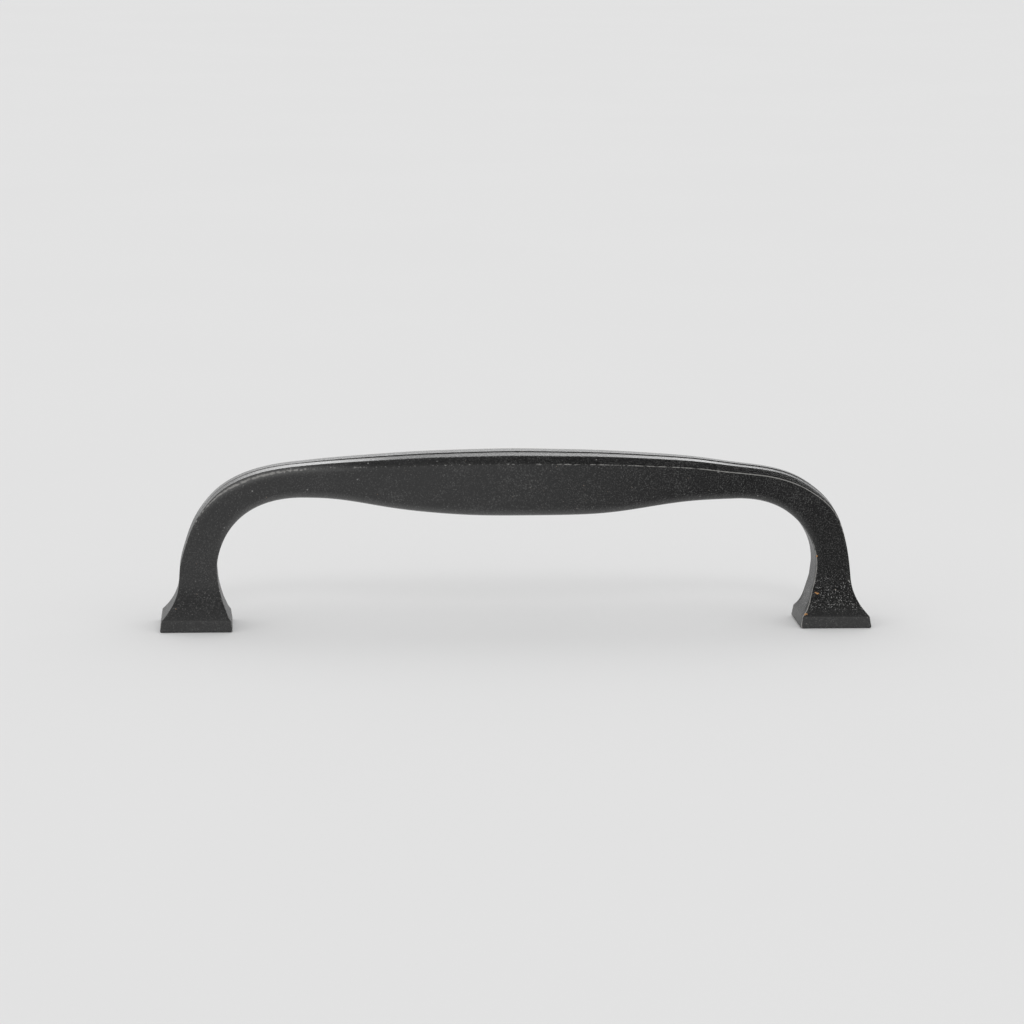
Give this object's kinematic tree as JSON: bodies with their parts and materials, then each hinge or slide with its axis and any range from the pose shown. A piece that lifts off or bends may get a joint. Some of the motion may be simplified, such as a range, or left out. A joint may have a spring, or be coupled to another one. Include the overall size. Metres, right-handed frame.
{
  "type": "cabinet pull",
  "caption": "Cast black bow pull for a drawer or cupboard front, with a bellied grip, stepped crown, flared block feet and screw fixings from behind.",
  "frame": {"origin": "midway between the two screw holes, on the plane of the feet's undersides", "axes": "+X along the pull, -Y towards its front face in the picture, +Z away from the front that it is screwed to"},
  "size_m": [0.1422, 0.0126, 0.0576],
  "materials": {
    "black_cast_iron": "satin black over fine sand-cast grain",
    "zinc_plated_steel": "bright zinc plate"
  },
  "bodies": {
    "pull": {"pull_casting": "black_cast_iron"},
    "left_washer": {"washer_left": "zinc_plated_steel"},
    "left_screw": {"fixing_screw_left": "zinc_plated_steel"},
    "right_washer": {"washer_right": "zinc_plated_steel"},
    "right_screw": {"fixing_screw_right": "zinc_plated_steel"}
  },
  "joints": [
    {"name": "left_fixing_travel", "type": "slide", "parent": "pull", "child": "left_washer", "axis": [0, 0, 1], "range_m": [-0.0056, 0.0028]},
    {"name": "left_screw_turn", "type": "hinge", "parent": "left_washer", "child": "left_screw", "pos_m": [-0.064, 0, 0], "axis": [0, 0, 1], "range_deg": [-2885, 1445]},
    {"name": "right_fixing_travel", "type": "slide", "parent": "pull", "child": "right_washer", "axis": [0, 0, 1], "range_m": [-0.0056, 0.0028]},
    {"name": "right_screw_turn", "type": "hinge", "parent": "right_washer", "child": "right_screw", "pos_m": [0.064, 0, 0], "axis": [0, 0, 1], "range_deg": [-2885, 1445]}
  ],
  "couplings": [
    {"joint": "left_screw_turn", "follows": "left_fixing_travel", "rad_per_m": 8976},
    {"joint": "right_screw_turn", "follows": "right_fixing_travel", "rad_per_m": 8976}
  ]
}
